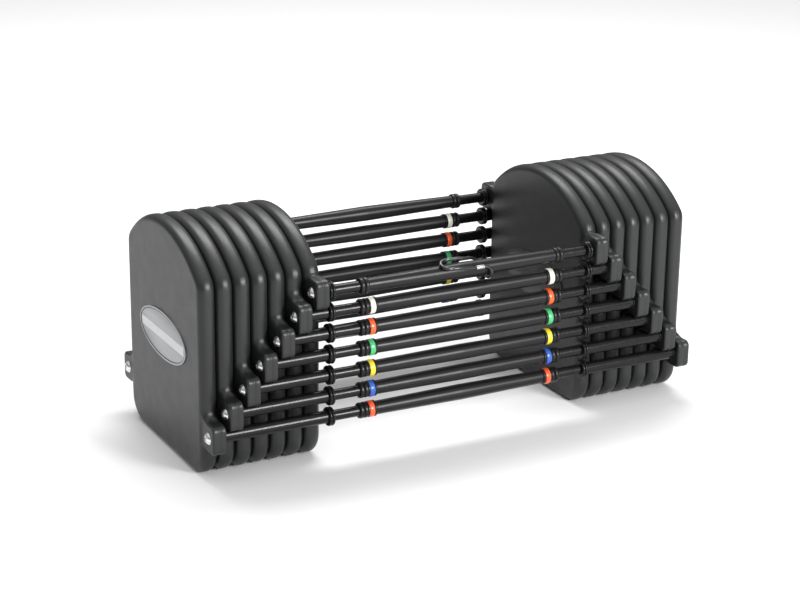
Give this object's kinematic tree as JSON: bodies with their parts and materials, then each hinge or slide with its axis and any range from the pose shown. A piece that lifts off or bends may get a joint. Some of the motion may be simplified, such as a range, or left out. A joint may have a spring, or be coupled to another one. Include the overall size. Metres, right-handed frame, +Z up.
{
  "type": "adjustable dumbbell weight stack",
  "caption": "Nested block dumbbell weight stack: coated plate pairs joined by front and back rails, colour-banded, each weight lifting out of the next one.",
  "frame": {"origin": "on the floor under the middle of the stack", "axes": "+X along the rails towards the right-hand plates, +Y towards the back rails, +Z up out of the stack"},
  "size_m": [0.4272, 0.183, 0.183],
  "materials": {
    "urethane": "satin moulded urethane coating",
    "core_steel": "plain cut steel plate",
    "rail_steel": "gloss black powder coat",
    "sleeve_plastic": "satin black extruded plastic",
    "band_white": "semi-gloss moulded colour ring",
    "band_orange": "semi-gloss moulded colour ring",
    "band_green": "semi-gloss moulded colour ring",
    "band_yellow": "semi-gloss moulded colour ring",
    "band_blue": "semi-gloss moulded colour ring",
    "band_red": "semi-gloss moulded colour ring",
    "screw_steel": "bright stainless steel",
    "badge": "satin grey metallic badge",
    "tether_vinyl": "gloss black vinyl coat",
    "crimp_metal": "crimped aluminium"
  },
  "bodies": {
    "weight_1": {"plates_1": "urethane", "ears_1": "urethane", "plate_cores_1": "core_steel", "rails_1": "rail_steel", "sleeves_1": "sleeve_plastic", "spacers_1": "rail_steel", "screws_1": "screw_steel", "inner_badges": "badge", "tether_loop": "tether_vinyl", "tether_crimp": "crimp_metal"},
    "weight_2": {"plates_2": "urethane", "ears_2": "urethane", "plate_cores_2": "core_steel", "rails_2": "rail_steel", "sleeves_2": "sleeve_plastic", "spacers_2": "rail_steel", "bands_2": "band_white", "screws_2": "screw_steel"},
    "weight_3": {"plates_3": "urethane", "ears_3": "urethane", "plate_cores_3": "core_steel", "rails_3": "rail_steel", "sleeves_3": "sleeve_plastic", "spacers_3": "rail_steel", "bands_3": "band_orange", "screws_3": "screw_steel"},
    "weight_4": {"plates_4": "urethane", "ears_4": "urethane", "plate_cores_4": "core_steel", "rails_4": "rail_steel", "sleeves_4": "sleeve_plastic", "spacers_4": "rail_steel", "bands_4": "band_green", "screws_4": "screw_steel"},
    "weight_5": {"plates_5": "urethane", "ears_5": "urethane", "plate_cores_5": "core_steel", "rails_5": "rail_steel", "sleeves_5": "sleeve_plastic", "spacers_5": "rail_steel", "bands_5": "band_yellow", "screws_5": "screw_steel"},
    "weight_6": {"plates_6": "urethane", "ears_6": "urethane", "plate_cores_6": "core_steel", "rails_6": "rail_steel", "sleeves_6": "sleeve_plastic", "spacers_6": "rail_steel", "bands_6": "band_blue", "screws_6": "screw_steel"},
    "weight_7": {"plates_7": "urethane", "ears_7": "urethane", "plate_cores_7": "core_steel", "rails_7": "rail_steel", "sleeves_7": "sleeve_plastic", "spacers_7": "rail_steel", "bands_7": "band_red", "screws_7": "screw_steel", "outer_badges": "badge"}
  },
  "joints": [
    {"name": "lift_weight_1", "type": "slide", "parent": "weight_2", "child": "weight_1", "axis": [0, 0, 1], "range_m": [0, 0.19]},
    {"name": "lift_weight_2", "type": "slide", "parent": "weight_3", "child": "weight_2", "axis": [0, 0, 1], "range_m": [0, 0.19]},
    {"name": "lift_weight_3", "type": "slide", "parent": "weight_4", "child": "weight_3", "axis": [0, 0, 1], "range_m": [0, 0.19]},
    {"name": "lift_weight_4", "type": "slide", "parent": "weight_5", "child": "weight_4", "axis": [0, 0, 1], "range_m": [0, 0.19]},
    {"name": "lift_weight_5", "type": "slide", "parent": "weight_6", "child": "weight_5", "axis": [0, 0, 1], "range_m": [0, 0.19]},
    {"name": "lift_weight_6", "type": "slide", "parent": "weight_7", "child": "weight_6", "axis": [0, 0, 1], "range_m": [0, 0.19]}
  ]
}
